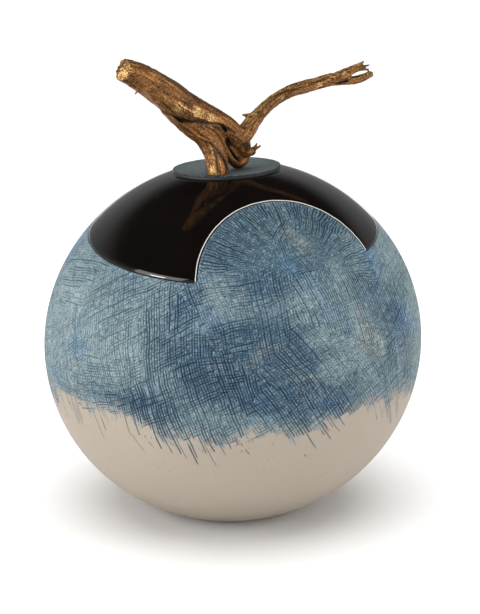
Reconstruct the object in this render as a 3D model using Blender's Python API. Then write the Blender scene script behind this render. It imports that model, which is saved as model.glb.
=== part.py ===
"""A round stoneware funeral urn with a wavy-edged lid and a driftwood handle, at its real size.

Metres and degrees, +Z up. The origin is on the floor under the middle of the ball, and -Y is the
front. Azimuths are counted from the front towards +X, elevations from the horizon.

The joint between body and lid is one wavy line on the ball. It is made of circles, each the set of
directions that lie at one angle from an axis through the ball's centre: the lid's own edge, and the
lobes of the body that rise into it.
"""

import math

import bmesh
import bpy
import numpy as np

# The ball
BODY_RADIUS = 0.110
BODY_HALF_HEIGHT = 0.1055
LEAN = 0.020  # how far the hand-built ball leans to +X for each unit of height
WALL = 0.007
FLOOR = 0.009
FOOT_RADIUS = 0.040

# The wavy joint between body and lid
LID_SPREAD = 50.0  # from the lid's axis to its lowest edge
LID_TILT = 8.6
LID_TILT_AZIMUTH = -6.0
LOBE_SPREAD = 28.9
LOBE_ELEVATION = 31.3
SHARP = 0.0025
SOFT = 0.009
LOBES = ((21.5, SHARP), (140.0, SOFT), (235.0, SOFT))  # azimuth, and rounding of its two corners
JOINT_GAP = 0.00035
LID_EDGE = 0.0008  # rounding of the lid's glazed edge
BODY_EDGE = 0.0006  # rounding of the body's rim

# The neck and the dished disc on top of the lid
DISC_RADIUS = 0.0308
DISC_OFFSET = -0.0055
DISC_TILT = 2.6
DISC_RISE = 0.0017  # above the ball's skin
DISC_DRAFT = 0.0002  # how much narrower the disc is at its foot
DISH_DEPTH = 0.001
DISH_BORDER = 0.0045
NECK_HEIGHT = 0.0012
NECK_FLARE = 0.003
NECK_BEND = (0.35, 0.65, 0.2)  # shares of the dome, the disc's foot and the neck's height
CEILING = 0.007  # thickness of the lid under the dish

# The driftwood handle
BRANCH_SPAN = 0.150
BRANCH_FOOT = (-0.0042, -0.018)  # from the disc's centre to the middle of the stub's foot
FOOT_GAP = 0.0003
BRANCH_VOXEL = 0.0010
BRANCH_KEEP = 0.088  # share of the remeshed faces that stays
TIP_BULGE = 0.35  # of a limb's end, as a share of its half thickness
FIRST_SIDE = (0.0, 1.0, 0.3)  # where a limb's rings start to be counted

# Each limb's centre line and half thickness, in hundredths of the branch's span, from its foot
LIMBS = {
    "left limb": (
        (-34.0, -23.2, 41.6, 4.4),
        (-29.5, -20.0, 39.5, 4.9),
        (-24.0, -16.0, 35.7, 5.4),
        (-17.6, -12.0, 30.7, 5.7),
        (-10.3, -7.3, 25.6, 5.0),
        (-3.0, -2.7, 21.9, 4.0),
        (2.8, 1.3, 18.3, 3.4),
        (6.0, 4.5, 14.5, 3.4),
    ),
    "right limb": (
        (6.5, 5.0, 12.0, 3.0),
        (9.5, 6.9, 14.0, 3.4),
        (12.9, 8.7, 18.6, 3.0),
        (17.2, 10.0, 23.1, 2.5),
        (22.1, 12.0, 26.7, 2.5),
        (27.8, 13.3, 29.4, 2.5),
        (33.7, 14.7, 30.8, 2.6),
        (38.2, 16.0, 31.8, 2.6),
        (43.2, 17.3, 33.0, 2.6),
    ),
    "upper prong": ((42.0, 17.0, 32.8, 2.0), (48.7, 18.0, 35.7, 1.9), (54.5, 19.0, 38.0, 1.2)),
    "lower prong": (
        (42.0, 17.2, 32.2, 1.8),
        (48.8, 18.7, 32.2, 1.7),
        (53.4, 20.0, 32.8, 1.6),
        (58.4, 20.7, 34.8, 1.2),
    ),
    "stub": (
        (-21.5, -13.5, 29.5, 2.2),
        (-15.4, -8.0, 23.0, 3.4),
        (-10.2, -4.0, 18.4, 4.0),
        (-5.0, -1.3, 14.6, 4.4),
        (-2.2, 0.0, 9.6, 4.2),
        (-0.9, 0.0, 5.1, 4.1),
        (-0.3, 0.0, -1.0, 4.2),
    ),
    "curled leg": (
        (-2.5, 0.5, 15.5, 3.2),
        (1.9, 4.0, 9.3, 2.9),
        (5.0, 6.7, 4.8, 2.7),
        (7.5, 9.3, 2.6, 2.5),
        (10.2, 11.3, 4.3, 2.1),
    ),
    "knot": ((6.0, 6.5, 10.5, 2.6), (9.5, 9.0, 7.0, 2.5), (13.4, 11.8, 6.5, 1.7)),
    "web": ((1.5, 1.5, 17.0, 3.4), (6.5, 5.0, 13.0, 3.5), (9.5, 8.0, 9.5, 2.6), (8.0, 8.6, 6.0, 2.2)),
    "broken twig": ((11.5, 10.8, 5.8, 1.1), (15.5, 12.2, 9.4, 0.7)),
    "spur": ((12.6, 8.7, 21.0, 1.2), (9.0, 7.4, 21.2, 0.7)),
}

# How finely the round shapes are divided
LOBE_STEPS = 15
CORNER_STEPS = 3
PETAL_STEPS = 11
BODY_LOWER_STEPS = 6
BODY_UPPER_STEPS = 6
BODY_INNER_STEPS = 7
LID_OUTER_STEPS = 6
LID_INNER_STEPS = 3
LIMB_SIDES = 12
LIMB_RINGS = 5  # between two points of a limb
EVENING = (4, 8)  # passes that even out the columns: body, times the joint's points, and lid, divided
EDGE_SHOULDER = 0.3  # how far along a rounding its middle step lies
SHARP_ANGLE = 35  # facets that meet at a wider angle show an edge

# Where the body's outer and inner skins bend from level rings to the joint
BELT_ELEVATION = 0.0
BEND_REACH = 0.15

CENTRE_HEIGHT = BODY_HALF_HEIGHT * math.sqrt(1 - (FOOT_RADIUS / BODY_RADIUS) ** 2)


def unit(vectors):
    return vectors / np.linalg.norm(vectors, axis=-1, keepdims=True)


def direction(azimuth, elevation):
    a, e = math.radians(azimuth), math.radians(elevation)
    return np.array([math.cos(e) * math.sin(a), -math.cos(e) * math.cos(a), math.sin(e)])


def level_direction(angles, elevation):
    """Directions at one elevation, both in radians, at these azimuths."""
    flat = math.cos(elevation)
    height = np.full_like(angles, math.sin(elevation))
    return np.stack([flat * np.sin(angles), -flat * np.cos(angles), height], axis=1)


def on_ball(directions, depth=0.0):
    """The points in these directions on the ball's skin, or on a skin that much deeper."""
    half_sizes = np.array([BODY_RADIUS, BODY_RADIUS, BODY_HALF_HEIGHT]) - depth
    return directions / np.linalg.norm(directions / half_sizes, axis=1, keepdims=True)


def placed(points):
    """Points about the ball's centre, leaned and lifted to where the urn stands."""
    x, y, z = np.asarray(points).T
    return np.stack([x + LEAN * z, y, z + CENTRE_HEIGHT], axis=1)


def crossings(axis, spread, other_axis, other_spread):
    """The two directions that lie on both circles, the one towards -azimuth first."""
    mix = axis @ other_axis
    near, far = math.cos(math.radians(spread)), math.cos(math.radians(other_spread))
    middle = ((near - mix * far) * axis + (far - mix * near) * other_axis) / (1 - mix**2)
    side = unit(np.cross(axis, other_axis)) * math.sqrt(1 - middle @ middle)
    return middle + side, middle - side


def arc(axis, start, end, sense, trims, count):
    """Directions along the circle about axis, from start to end, cut short by a length at each end."""
    along = axis * (axis @ start)
    across = start - along
    turn = math.atan2(axis @ np.cross(across, end - along), across @ (end - along))
    whole = (sense * turn) % (2 * math.pi)
    cuts = np.array(trims) / (np.linalg.norm(across) * BODY_RADIUS)
    angles = sense * np.linspace(cuts[0], whole - cuts[1], count)
    side = np.cross(axis, across)
    return along + np.outer(np.cos(angles), across) + np.outer(np.sin(angles), side)


def corner(before, tip, after, count):
    """Directions that round off the corner at tip."""
    t = (np.arange(count) + 1)[:, None] / (count + 1)
    return unit((1 - t) ** 2 * before + 2 * t * (1 - t) * tip + t**2 * after)


def joint_line():
    """The joint, once round by rising azimuth, starting at the front lobe's left corner."""
    lid_axis = direction(LID_TILT_AZIMUTH, 90 - LID_TILT)
    axes = [direction(azimuth, LOBE_ELEVATION) for azimuth, _ in LOBES]
    tips = [crossings(axis, LOBE_SPREAD, lid_axis, LID_SPREAD) for axis in axes]
    pieces = []
    for i, (_, rounding) in enumerate(LOBES):
        after = (i + 1) % len(LOBES)
        left, right = tips[i]
        lobe = arc(axes[i], left, right, -1, (rounding, rounding), LOBE_STEPS)
        next_left, next_rounding = tips[after][0], LOBES[after][1]
        petal = arc(lid_axis, right, next_left, 1, (rounding, next_rounding), PETAL_STEPS)
        pieces.append((lobe, right, petal, next_left))
    line = []
    for i, (lobe, right, petal, next_left) in enumerate(pieces):
        next_lobe = pieces[(i + 1) % len(pieces)][0]
        line += [lobe, corner(lobe[-1], right, petal[0], CORNER_STEPS)]
        line += [petal, corner(petal[-1], next_left, next_lobe[0], CORNER_STEPS)]
    return np.concatenate(line)


def towards_lid(line):
    """At each point of the joint, the tangent direction that leads square off it into the lid."""
    before = np.cross(line, unit(line - np.roll(line, 1, axis=0)))
    after = np.cross(line, unit(np.roll(line, -1, axis=0) - line))
    both = before + after
    return 2 * both / np.sum(both * both, axis=1, keepdims=True)


def shifted(line, distance):
    """The joint line moved along the ball by a distance, into the lid or, if negative, the body."""
    return unit(line + towards_lid(line) * distance / BODY_RADIUS)


def spread_out(steps, passes):
    """Angles once round, from steps that are evened out with their neighbours."""
    for _ in range(passes):
        steps = (np.roll(steps, 1) + 2 * steps + np.roll(steps, -1)) / 4
    return np.cumsum(steps) - steps


def column_angles(line, by_length, passes):
    """An azimuth for each point of the joint, evened out, for rings that lie away from it.

    by_length is the share that follows the joint's length and not its azimuth.
    """
    azimuths = np.unwrap(np.arctan2(line[:, 0], -line[:, 1]))
    turns = np.diff(azimuths, append=azimuths[0] + 2 * math.pi)
    lengths = np.linalg.norm(np.roll(line, -1, axis=0) - line, axis=1)
    lengths *= 2 * math.pi / lengths.sum()
    angles = spread_out((1 - by_length) * turns + by_length * lengths, passes)
    return angles + np.mean(azimuths - angles)


def bridged(name, loops, material):
    """An object whose skin joins closed loops of points in turn, with a flat face over each end."""
    mesh = bmesh.new()
    rings = [[mesh.verts.new(point) for point in loop] for loop in loops]
    for lower, upper in zip(rings, rings[1:]):
        for i in range(len(lower)):
            after = (i + 1) % len(lower)
            mesh.faces.new((lower[i], lower[after], upper[after], upper[i]))
    mesh.faces.new(reversed(rings[0]))
    mesh.faces.new(rings[-1])
    return finished(name, mesh, material)


def finished(name, mesh, material):
    bmesh.ops.recalc_face_normals(mesh, faces=mesh.faces)
    data = bpy.data.meshes.new(name)
    mesh.to_mesh(data)
    mesh.free()
    data.shade_smooth()
    data.set_sharp_from_angle(angle=math.radians(SHARP_ANGLE))
    data.materials.append(material)
    piece = bpy.data.objects.new(name, data)
    bpy.context.scene.collection.objects.link(piece)
    return piece


def surface(name, colour, roughness, metallic=0.0):
    material = bpy.data.materials.new(name)
    material.use_nodes = True
    shader = material.node_tree.nodes["Principled BSDF"]
    shader.inputs["Base Color"].default_value = (*colour, 1.0)
    shader.inputs["Roughness"].default_value = roughness
    shader.inputs["Metallic"].default_value = metallic
    material.diffuse_color = (*colour, 1.0)
    return material


def rounded_edge(line, side, radius):
    """The loops of a rim's rounded edge, from its flank up to the skin."""
    flank = shifted(line, side * JOINT_GAP / 2)
    step = EDGE_SHOULDER * radius
    shoulder = shifted(line, side * (JOINT_GAP / 2 + step))
    skin = shifted(line, side * (JOINT_GAP / 2 + radius))
    return [on_ball(flank, radius), on_ball(shoulder, step), on_ball(skin)]


def body_loops(line):
    """The body's loops: up its outside, over the rim, and down inside to the floor."""
    angles = column_angles(line, by_length=0.0, passes=EVENING[0] * len(line))
    foot_elevation = -math.acos(FOOT_RADIUS / math.hypot(FOOT_RADIUS, CENTRE_HEIGHT))
    belt = math.radians(BELT_ELEVATION)
    lower = [
        on_ball(level_direction(angles, foot_elevation + (belt - foot_elevation) * share))
        for share in np.linspace(0, 1, BODY_LOWER_STEPS, endpoint=False)
    ]
    edge = rounded_edge(line, -1, BODY_EDGE)
    rim = unit(edge[-1])
    knots = [
        level_direction(angles, belt),
        level_direction(angles, belt + 2 * BEND_REACH),
        unit(rim - towards_lid(line) * BEND_REACH),
        rim,
    ]
    upper = [
        on_ball(unit(bezier(knots, share)))
        for share in np.linspace(0, 1, BODY_UPPER_STEPS, endpoint=False)
    ]
    inner_rim = shifted(line, -JOINT_GAP / 2)
    floor_height = FLOOR - CENTRE_HEIGHT
    inner_half = BODY_HALF_HEIGHT - WALL
    floor_radius = (BODY_RADIUS - WALL) * math.sqrt(1 - (floor_height / inner_half) ** 2)
    floor = level_direction(angles, math.atan2(floor_height, floor_radius))
    middle = level_direction(angles, belt)
    inside = [
        on_ball(unit(bezier([inner_rim, middle, middle, floor], share)), WALL)
        for share in np.linspace(0, 1, BODY_INNER_STEPS + 1)
    ]
    return lower + upper + edge[::-1] + inside


def bezier(knots, share):
    a, b, c, d = knots
    rest = 1 - share
    return rest**3 * a + 3 * rest**2 * share * b + 3 * rest * share**2 * c + share**3 * d


class Disc:
    """The tilted disc on the lid: its frame about the ball's centre."""

    tilt = math.radians(DISC_TILT)
    height = BODY_HALF_HEIGHT * math.sqrt(1 - (DISC_RADIUS / BODY_RADIUS) ** 2) + DISC_RISE
    centre = np.array([DISC_OFFSET, 0.0, height])
    right = np.array([math.cos(tilt), 0.0, math.sin(tilt)])
    back = np.array([0.0, 1.0, 0.0])
    up = np.array([-math.sin(tilt), 0.0, math.cos(tilt)])

    @classmethod
    def ring(cls, radius, angles, height):
        flat = np.outer(np.sin(angles), cls.right) - np.outer(np.cos(angles), cls.back)
        return cls.centre + radius * flat + height * cls.up


def lid_loops(line):
    """The lid's loops: from its ceiling out to the rim, over the glazed edge, and up to the dish."""
    angles = column_angles(line, by_length=1.0, passes=len(line) // EVENING[1])
    edge = rounded_edge(line, 1, LID_EDGE)
    rim = unit(edge[-1])
    neck = unit(Disc.ring(DISC_RADIUS + NECK_FLARE, angles, 0.0))
    shares = np.linspace(0, 1, LID_OUTER_STEPS + 1)[1:]
    dome = [on_ball(unit((1 - share) * rim + share * neck)) for share in shares]
    wall_foot = Disc.ring(DISC_RADIUS - DISC_DRAFT, angles, -NECK_HEIGHT)
    of_dome, of_foot, drop = NECK_BEND
    fillet = of_dome * dome[-1] + of_foot * wall_foot - drop * NECK_HEIGHT * Disc.up
    top = [
        fillet,
        wall_foot,
        Disc.ring(DISC_RADIUS, angles, 0.0),
        Disc.ring(DISC_RADIUS - DISH_BORDER, angles, -DISH_DEPTH),
    ]
    inner_rim = shifted(line, JOINT_GAP / 2)
    ceiling_height = Disc.height - DISH_DEPTH - CEILING - DISC_RADIUS * math.sin(Disc.tilt)
    inner_half = BODY_HALF_HEIGHT - WALL
    ceiling_radius = (BODY_RADIUS - WALL) * math.sqrt(1 - (ceiling_height / inner_half) ** 2)
    ceiling = level_direction(angles, math.atan2(ceiling_height, ceiling_radius))
    inside = [
        on_ball(unit((1 - share) * ceiling + share * inner_rim), WALL)
        for share in np.linspace(0, 1, LID_INNER_STEPS + 1)
    ]
    return inside + edge + dome + top


def smooth_line(points, rings):
    """A centre line and its half thickness, through the given points, as a Catmull-Rom curve."""
    p = np.concatenate([[2 * points[0] - points[1]], points, [2 * points[-1] - points[-2]]])
    line = []
    for a, b, c, d in zip(p, p[1:], p[2:], p[3:]):
        for t in np.arange(rings) / rings:
            line.append(
                b + 0.5 * t * (c - a + t * (2 * a - 5 * b + 4 * c - d + t * (3 * (b - c) + d - a)))
            )
    return np.array(line + [points[-1]])


def add_limb(mesh, points):
    """A tapered tube along one limb's centre line, with a low point over each end."""
    line = smooth_line(np.array(points) * BRANCH_SPAN / 100, LIMB_RINGS)
    centres, radii = line[:, :3], line[:, 3]
    forward = unit(np.gradient(centres, axis=0))
    side = unit(np.cross(forward[0], FIRST_SIDE))
    angles = np.linspace(0, 2 * math.pi, LIMB_SIDES, endpoint=False)
    rings = []
    for centre, radius, ahead in zip(centres, radii, forward):
        side = unit(side - ahead * (side @ ahead))
        other = np.cross(ahead, side)
        circle = np.outer(np.cos(angles), side) + np.outer(np.sin(angles), other)
        rings.append([mesh.verts.new(point) for point in centre + radius * circle])
    for low, high in zip(rings, rings[1:]):
        for i in range(LIMB_SIDES):
            after = (i + 1) % LIMB_SIDES
            mesh.faces.new((low[i], low[after], high[after], high[i]))
    for ring, centre, outwards in ((rings[0][::-1], 0, -1), (rings[-1], -1, 1)):
        tip = centres[centre] + outwards * TIP_BULGE * radii[centre] * forward[centre]
        point = mesh.verts.new(tip)
        for i in range(LIMB_SIDES):
            mesh.faces.new((ring[i], ring[(i + 1) % LIMB_SIDES], point))


def cutting_block():
    """The space below the branch's foot: everything under a plane just above the dish."""
    mesh = bmesh.new()
    bmesh.ops.create_cube(mesh, size=BRANCH_SPAN)
    block = finished("foot_cutter", mesh, surface("cutter", (0.8, 0.1, 0.1), 0.5))
    block.hide_render = True
    block.display_type = "WIRE"
    block.rotation_euler = (0.0, -Disc.tilt, 0.0)
    plane = Disc.centre + (FOOT_GAP - DISH_DEPTH) * Disc.up
    block.location = placed([plane])[0] - Disc.up * BRANCH_SPAN / 2
    return block


def branch():
    """The driftwood: its limbs fused to one skin, cut flat where it stands on the dish."""
    mesh = bmesh.new()
    for points in LIMBS.values():
        add_limb(mesh, points)
    wood = surface("gilded_driftwood", (0.36, 0.19, 0.06), 0.38, 0.75)
    piece = finished("branch_handle", mesh, wood)
    across, deep = BRANCH_FOOT
    foot = Disc.centre + across * Disc.right + deep * Disc.back + (FOOT_GAP - DISH_DEPTH) * Disc.up
    piece.location = placed([foot])[0]
    fuse = piece.modifiers.new("fuse", "REMESH")
    fuse.mode = "VOXEL"
    fuse.voxel_size = BRANCH_VOXEL
    fuse.use_smooth_shade = True
    thin = piece.modifiers.new("thin", "DECIMATE")
    thin.ratio = BRANCH_KEEP
    cut = piece.modifiers.new("cut", "BOOLEAN")
    cut.operation = "DIFFERENCE"
    cut.object = cutting_block()
    return piece


def clear_scene():
    for thing in list(bpy.data.objects):
        bpy.data.objects.remove(thing)


def build():
    clear_scene()
    line = joint_line()
    stoneware = surface("blue_washed_stoneware", (0.36, 0.45, 0.52), 0.75)
    glaze = surface("black_glaze", (0.012, 0.010, 0.009), 0.12)
    bridged("urn_body", [placed(loop) for loop in body_loops(line)], stoneware)
    bridged("lid", [placed(loop) for loop in lid_loops(line)], glaze)
    branch()


build()
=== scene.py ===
"""How the round stoneware urn looks: its scratched blue wash, its black lid and its gilded driftwood.

Metres and degrees in the frame's axes: +Z up, -Y the front. Azimuths are counted from the front
towards +X, elevations from the horizon, both at the middle of the ball.
"""

import itertools
import math
from typing import NamedTuple

import bmesh
import bpy
import numpy as np
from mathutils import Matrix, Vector
from mathutils.kdtree import KDTree


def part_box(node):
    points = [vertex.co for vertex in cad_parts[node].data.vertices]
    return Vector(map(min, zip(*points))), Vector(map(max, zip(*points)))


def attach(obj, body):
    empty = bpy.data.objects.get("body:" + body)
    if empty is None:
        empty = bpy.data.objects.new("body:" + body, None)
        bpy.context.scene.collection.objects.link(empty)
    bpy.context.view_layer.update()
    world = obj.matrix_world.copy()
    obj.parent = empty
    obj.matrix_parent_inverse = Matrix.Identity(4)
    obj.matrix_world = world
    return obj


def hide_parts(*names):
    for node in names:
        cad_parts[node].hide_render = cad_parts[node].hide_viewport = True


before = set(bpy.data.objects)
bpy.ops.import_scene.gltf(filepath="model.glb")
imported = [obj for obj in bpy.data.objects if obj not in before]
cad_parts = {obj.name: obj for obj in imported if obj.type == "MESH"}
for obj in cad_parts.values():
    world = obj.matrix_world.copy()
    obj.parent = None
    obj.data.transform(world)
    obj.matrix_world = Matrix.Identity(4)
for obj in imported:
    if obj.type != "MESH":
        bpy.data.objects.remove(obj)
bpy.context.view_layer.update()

# The ball, as the solids have it. The skin lies a hair inside theirs.
SKIN_INSET = 0.0001
BODY_RADIUS = (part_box("urn_body")[1].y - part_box("urn_body")[0].y) / 2 - SKIN_INSET
FLATNESS = 0.959  # the ball's half height as a share of its radius
BODY_HALF_HEIGHT = FLATNESS * BODY_RADIUS
LEAN = 0.020
WALL = 0.007
FLOOR = 0.009
FOOT_RADIUS = 0.040
FOOT_EDGE = 0.0015
FOOT_ROUNDING = (0.25, 0.2)  # how far it swells out and up, as shares of FOOT_EDGE
FOOT_LIFT = 2.0  # the elevation from the foot's edge to the first ring above it
CENTRE_HEIGHT = BODY_HALF_HEIGHT * math.sqrt(1 - (FOOT_RADIUS / BODY_RADIUS) ** 2)

# The wavy joint between body and lid
LID_SPREAD = 50.0
LID_TILT = 8.6
LID_TILT_AZIMUTH = -6.0
LOBE_SPREAD = 28.9
LOBE_ELEVATION = 31.3
SHARP = 0.0025  # how far from its tip a corner's rounding starts
SOFT = 0.009
LOBES = ((21.5, SHARP), (140.0, SOFT), (235.0, SOFT))  # each one's azimuth and corners
JOINT_GAP = 0.00035
LID_EDGE = 0.0009
LID_ROLL = 0.0028  # how far the glaze rolls over towards the lid's edge
BODY_EDGE = 0.0006
BEND_REACH = 0.15  # how far the rings bend towards the rim and the belly, in radians
SHARP_ANGLE = 50.0  # a crease at least this sharp stays sharp

# The disc on top of the lid
DISC_RADIUS = 0.0308
DISC_OFFSET = -0.0055
DISC_TILT = 2.6
DISC_RISE = 0.0017
DISC_EDGE = 0.0003
DISC_SHOULDER = 0.3  # where the edge's rounding is widest, as a share of it
LIP_WIDTH = 3 * DISC_EDGE
LIP_DROP = 0.1  # as a share of the dish's depth
DISH_DEPTH = 0.001
DISH_BORDER = 0.0045
DISH_STEPS = 8
DISH_RINGS = (0.75, 0.5, 0.25, 0.08)  # the rings on its floor, as shares of the floor's radius
NECK_HEIGHT = 0.0012
NECK_FLARE = 0.003
NECK_PULL = 0.0014  # how far below its foot the disc's wall pulls the neck's curve
CEILING = 0.007

# The driftwood
BRANCH_SPAN = 0.150
WOOD_MEASURE = BRANCH_SPAN / 100
BRANCH_FOOT = (-0.0042, -0.018)
FOOT_GAP = 0.0003
WOOD_VOXEL = 0.00046
WOOD_SMOOTHING = (0.5, 2)  # how strongly, and how often
TIP_BULGE = 0.35  # how far each limb's end bulges, as a share of its half thickness

# The folds along each limb: their length, how many there are round it, their depth as a share of
# its half thickness, and the noise's seed
LIMB_SWELL = 1.13
FOLDS = ((0.045, 1.5, 0.15, 5), (0.030, 3.2, 0.07, 9))
GRAIN_SHIFT = 0.37  # how far each limb's grain starts from the last one's, in metres
FIRST_SIDE = (0.0, 1.0, 0.3)  # each limb's frame starts square to this direction

# The weathering: its depth, its grooves a metre along and across the grain, and the noise's seed
WEATHERING = ((0.00034, 55.0, 420.0, 3), (0.00018, 160.0, 1300.0, 4))
PIT_DEPTH = 0.00025
PITS_PER_METRE = 700.0
PIT_SEED = 6
DARK_DEPTH = 0.0016  # the wood is fully dark where it is weathered this deep

# The burl on the left limb's end, cut by wide pits
BURL_REACH = 0.009
BURL_DEPTH = 0.0011
BURL_PITS_PER_METRE = 330.0
BURL_SEED = 21

# Each limb's centre line and half thickness, in hundredths of the branch's span, from its foot
LIMBS = {
    "left limb": (
        (-34.0, -23.2, 41.6, 4.4), (-29.5, -20.0, 39.5, 4.9), (-24.0, -16.0, 35.7, 5.4),
        (-17.6, -12.0, 30.7, 5.7), (-10.3, -7.3, 25.6, 5.0), (-3.0, -2.7, 21.9, 4.0),
        (2.8, 1.3, 18.3, 3.4), (6.0, 4.5, 14.5, 3.4),
    ),
    "right limb": (
        (6.5, 5.0, 12.0, 3.0), (9.5, 6.9, 14.0, 3.4), (12.9, 8.7, 18.6, 3.0),
        (17.2, 10.0, 23.1, 2.5), (22.1, 12.0, 26.7, 2.5), (27.8, 13.3, 29.4, 2.5),
        (33.7, 14.7, 30.8, 2.6), (38.2, 16.0, 31.8, 2.6), (43.2, 17.3, 33.0, 2.6),
    ),
    "upper prong": ((42.0, 17.0, 32.8, 2.0), (48.7, 18.0, 35.7, 1.9), (54.0, 18.9, 37.8, 1.4)),
    "lower prong": (
        (42.0, 17.2, 32.2, 1.8), (48.8, 18.7, 32.2, 1.7), (53.4, 20.0, 32.8, 1.6),
        (58.4, 20.7, 34.8, 1.2),
    ),
    "stub": (
        (-21.5, -13.5, 29.5, 2.2), (-15.4, -8.0, 23.0, 3.4), (-10.2, -4.0, 18.4, 4.0),
        (-5.0, -1.3, 14.6, 4.4), (-2.2, 0.0, 9.6, 4.2), (-0.9, 0.0, 5.1, 4.1),
        (-0.3, 0.0, -1.0, 4.2),
    ),
    "curled leg": (
        (-2.5, 0.5, 15.5, 3.2), (1.9, 4.0, 9.3, 2.9), (5.0, 6.7, 4.8, 2.7), (7.5, 9.3, 2.6, 2.5),
        (10.2, 11.3, 4.3, 2.1),
    ),
    "knot": ((6.0, 6.5, 10.5, 2.6), (9.5, 9.0, 7.0, 2.5), (13.4, 11.8, 6.5, 1.7)),
    "web": ((1.5, 1.5, 17.0, 3.4), (6.5, 5.0, 13.0, 3.5), (9.5, 8.0, 9.5, 2.6), (8.0, 8.6, 6.0, 2.2)),
    "broken twig": ((11.5, 10.8, 5.8, 1.0), (15.9, 12.4, 8.6, 0.55)),
    "second twig": ((11.5, 10.7, 6.0, 0.9), (14.5, 11.3, 9.6, 0.5)),
    "spur": ((12.6, 8.7, 20.4, 1.2), (8.6, 8.0, 20.9, 0.5)),
    "thorn": ((-28.0, -19.3, 34.6, 0.9), (-29.9, -20.0, 32.4, 0.45)),
    "first splinter": ((52.0, 18.6, 37.0, 1.0), (57.2, 19.3, 38.2, 0.45)),
    "second splinter": ((52.0, 18.9, 36.2, 0.9), (57.0, 20.0, 36.4, 0.45)),
    "third splinter": ((51.0, 18.4, 37.4, 1.0), (55.0, 18.9, 39.6, 0.5)),
}
# The cracks' lines on the wood's front, in the same measure, each with its half width and depth
CRACKS = (
    (0.62, 2.56, ((-20.6, -12.7, 25.2), (-18.3, -12.4, 23.8), (-13.3, -10.5, 21.5),
        (-10.5, -9.3, 20.8), (-6.1, -7.5, 19.9), (-2.1, -5.1, 19.0), (1.2, -3.2, 18.0),
        (2.3, -1.4, 16.2), (3.0, 0.9, 13.5), (3.7, 1.8, 10.8), (4.9, 2.6, 8.4), (6.7, 4.4, 5.4),
        (9.4, 7.5, 2.2))),
    (0.42, 1.44, ((37.2, 13.7, 29.9), (41.0, 15.2, 30.4), (47.1, 16.7, 31.9), (49.4, 17.2, 32.6))),
    (0.50, 1.2, ((-3.5, -4.6, 12.6), (-2.2, -4.3, 11.1), (0.0, -3.5, 8.4), (2.6, -2.2, 4.6),
        (3.6, -1.6, 1.4))),
    (0.32, 0.64, ((-29.5, -22.8, 43.9), (-24.0, -18.8, 40.1), (-17.6, -14.9, 35.2),
        (-10.3, -10.0, 29.8), (-5.0, -6.5, 26.3))),
    (0.34, 0.72, ((-15.4, -11.3, 24.0), (-10.2, -7.8, 19.5), (-5.0, -5.5, 15.8), (-2.2, -4.0, 10.8),
        (-0.9, -3.9, 6.2), (-0.3, -4.0, 0.2))),
)
CRACK_WANDER = 0.6  # how far a crack's width varies, as a share of it
CRACK_WANDERS_PER_METRE = 260.0
CRACK_SEED = 11
CRACK_TAPER = 0.06  # the share of its line over which each end closes
CRACK_DARKNESS = 1.6

# Where gold leaf is thick: a place in the same measure, and how far it reaches
GILDED = (
    ((-33.9, -25.2, 40.4), 3.6), ((-2.4, -3.2, 1.9), 2.2), ((7.0, 4.4, 10.6), 1.6),
    ((-14.0, -15.2, 26.8), 4.0), ((-8.5, -11.5, 24.2), 3.6), ((-3.0, -6.5, 21.6), 3.0),
    ((17.2, 7.5, 22.3), 1.5), ((24.0, 10.2, 27.5), 1.6), ((37.9, 13.5, 31.2), 1.6),
    ((47.4, 15.9, 35.4), 1.6),
)

# Painted highlight: the side of the wood that faces the light is painted gold, and how strongly
LIT_SIDE = (-0.35, -0.60, 0.72)
PAINTED_HIGHLIGHT_GOLD = 0.75

# How finely the round shapes are divided
LOBE_STEPS = 60
CORNER_STEPS = 9
PETAL_STEPS = 45
BODY_LOWER_STEPS = 44
BODY_UPPER_STEPS = 46
BODY_INNER_STEPS = 30
LID_OUTER_STEPS = 36
LID_INNER_STEPS = 14
ROUND_STEPS = 5
LID_ROLL_STEPS = 12
LIMB_SIDES = 40
LIMB_RINGS = 22

# The lower edge of the blue wash, as azimuth and elevation, once round
WASH_EDGE = (
    (-79, -12), (-55, -9), (-38, -8), (-24, -12), (-9, -15), (5, -13), (25, -11), (45, -8),
    (70, -9), (105, -13), (140, -8), (175, -14), (215, -9), (250, -14),
)
# Where the wash lies thick or, if negative, thin: azimuth, elevation, reach across, reach up and
# strength
WASHES = (
    (0, 13, 10, 6, 1.5), (13, 12, 9, 6, 0.9), (8, 5, 13, 7, 1.5), (-18, 14, 10, 12, 0.3),
    (14, 47, 22, 10, 2.0), (6, 32, 9, 8, 0.2), (-8, 34, 6, 12, -0.3), (38, 18, 9, 9, -0.2),
    (76, 10, 10, 14, -0.8), (62, 20, 10, 10, 0.3), (-4, 3, 8, 5, 0.5), (-12, 6, 9, 8, 0.35),
    (6, 11, 9, 7, 0.7), (19, -2, 13, 5, 0.7), (28, -5, 8, 4, 0.6), (-15, 26, 4, 7, 0.7),
    (2, 38, 14, 7, 0.3), (14, 30, 6, 4, 0.4), (57, 16, 7, 4, 0.6), (52, 6, 6, 4, 0.4),
    (-33, -3, 9, 3, 0.6), (-22, -5, 7, 4, 0.5), (-59, 8, 5, 4, 0.3), (-67, 12, 12, 14, -0.9),
    (-37, 9, 8, 6, -0.4), (-11, 18, 4, 6, -0.3), (22, 14, 4, 3, -0.4), (27, 5, 5, 3, -0.6),
    (100, 20, 16, 10, 0.5), (120, 0, 14, 6, 0.4), (150, 15, 14, 9, 0.5), (180, 30, 14, 10, -0.4),
    (200, 5, 18, 7, 0.6), (230, 28, 16, 8, 0.4), (255, 2, 12, 6, -0.4),
)

# How far the wash's edge strays, finely and broadly, how its rubbed patches move it, how far a
# stroke carries it, and over which stretch it fades in
FRAY = 0.008
DRIFT = 0.011
RUBBED_EDGE = (0.026, -0.015)
STROKE_EDGE = 0.006
WASH_FADE = (-0.0050, 0.0085)


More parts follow.
